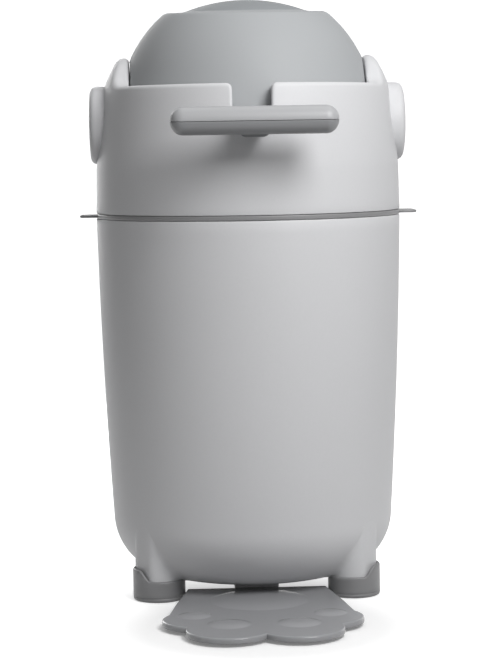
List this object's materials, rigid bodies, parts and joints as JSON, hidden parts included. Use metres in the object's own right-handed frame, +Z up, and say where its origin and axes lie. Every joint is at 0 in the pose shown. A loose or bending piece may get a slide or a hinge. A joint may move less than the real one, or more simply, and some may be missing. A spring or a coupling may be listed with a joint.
{
  "type": "nappy bin",
  "caption": "Tall round nappy bin on short legs, with a ball-shaped chute drum that a T-handle flips over, a hinged head, a bag ring and a paw-shaped foot plate.",
  "frame": {"origin": "on the floor, under the middle of the whole outline; the tub's vertical axis crosses the floor 62 mm behind it, at +Y", "axes": "+Z up along the bin's height, +X across it along the drum's axle line, -Y to the front, where the handle and the foot plate are"},
  "size_m": [0.334, 0.456, 0.5835],
  "materials": {
    "shell": "satin moulded plastic, light grey",
    "drum": "satin moulded plastic, grey",
    "handle": "satin moulded plastic, grey",
    "piston": "satin moulded plastic, bluish grey",
    "plate": "satin moulded plastic, mid grey",
    "boot": "soft matt plastic, dark grey",
    "ring": "satin moulded plastic, dark grey",
    "inner_plastic": "smooth moulded plastic, off-white",
    "rubber": "soft rubber, black",
    "steel": "zinc-plated steel",
    "weight_iron": "plain cast iron"
  },
  "bodies": {
    "bin": {"bin_body": "shell", "front_left_boot": "boot", "front_right_boot": "boot", "rear_left_boot": "boot", "rear_right_boot": "boot", "foot_plate": "plate", "foot_plate_bracket": "plate", "foot_plate_pads": "rubber", "foot_plate_screws": "steel", "hinge_pin": "steel"},
    "ring": {"bag_ring": "ring"},
    "head": {"head_shell": "shell", "seal_carrier": "inner_plastic", "drum_seal": "rubber", "carrier_screws": "steel", "left_axle": "steel", "right_axle": "steel", "axle_screws": "steel", "left_pivot_cover": "shell", "right_pivot_cover": "shell"},
    "drum": {"drum_upper_half": "drum", "drum_lower_half": "drum", "chute_tube": "inner_plastic", "upper_chute_rim": "drum", "lower_chute_rim": "drum", "left_bush": "inner_plastic", "right_bush": "inner_plastic", "handle_top": "handle", "handle_bottom": "handle", "handle_screws": "steel"},
    "piston": {"upper_piston_cap": "piston", "lower_piston_cap": "piston", "upper_piston_seal": "rubber", "lower_piston_seal": "rubber", "piston_weight": "weight_iron"}
  },
  "joints": [
    {"name": "head_hinge", "type": "hinge", "parent": "bin", "child": "head", "pos_m": [0, 0.2215, 0.3726], "axis": [-1, 0, 0], "range_deg": [0, 100]},
    {"name": "ring_hinge", "type": "hinge", "parent": "bin", "child": "ring", "pos_m": [0, 0.2215, 0.3726], "axis": [-1, 0, 0], "range_deg": [0, 50]},
    {"name": "drum_turn", "type": "hinge", "parent": "head", "child": "drum", "pos_m": [0, 0.062, 0.473], "axis": [-1, 0, 0], "range_deg": [0, 186]},
    {"name": "piston_slide", "type": "slide", "parent": "drum", "child": "piston", "axis": [0, 0.0523, -0.9986], "range_m": [0, 0.1664]}
  ],
  "couplings": [
    {"joint": "ring_hinge", "follows": "head_hinge", "ratio": 0.5}
  ]
}
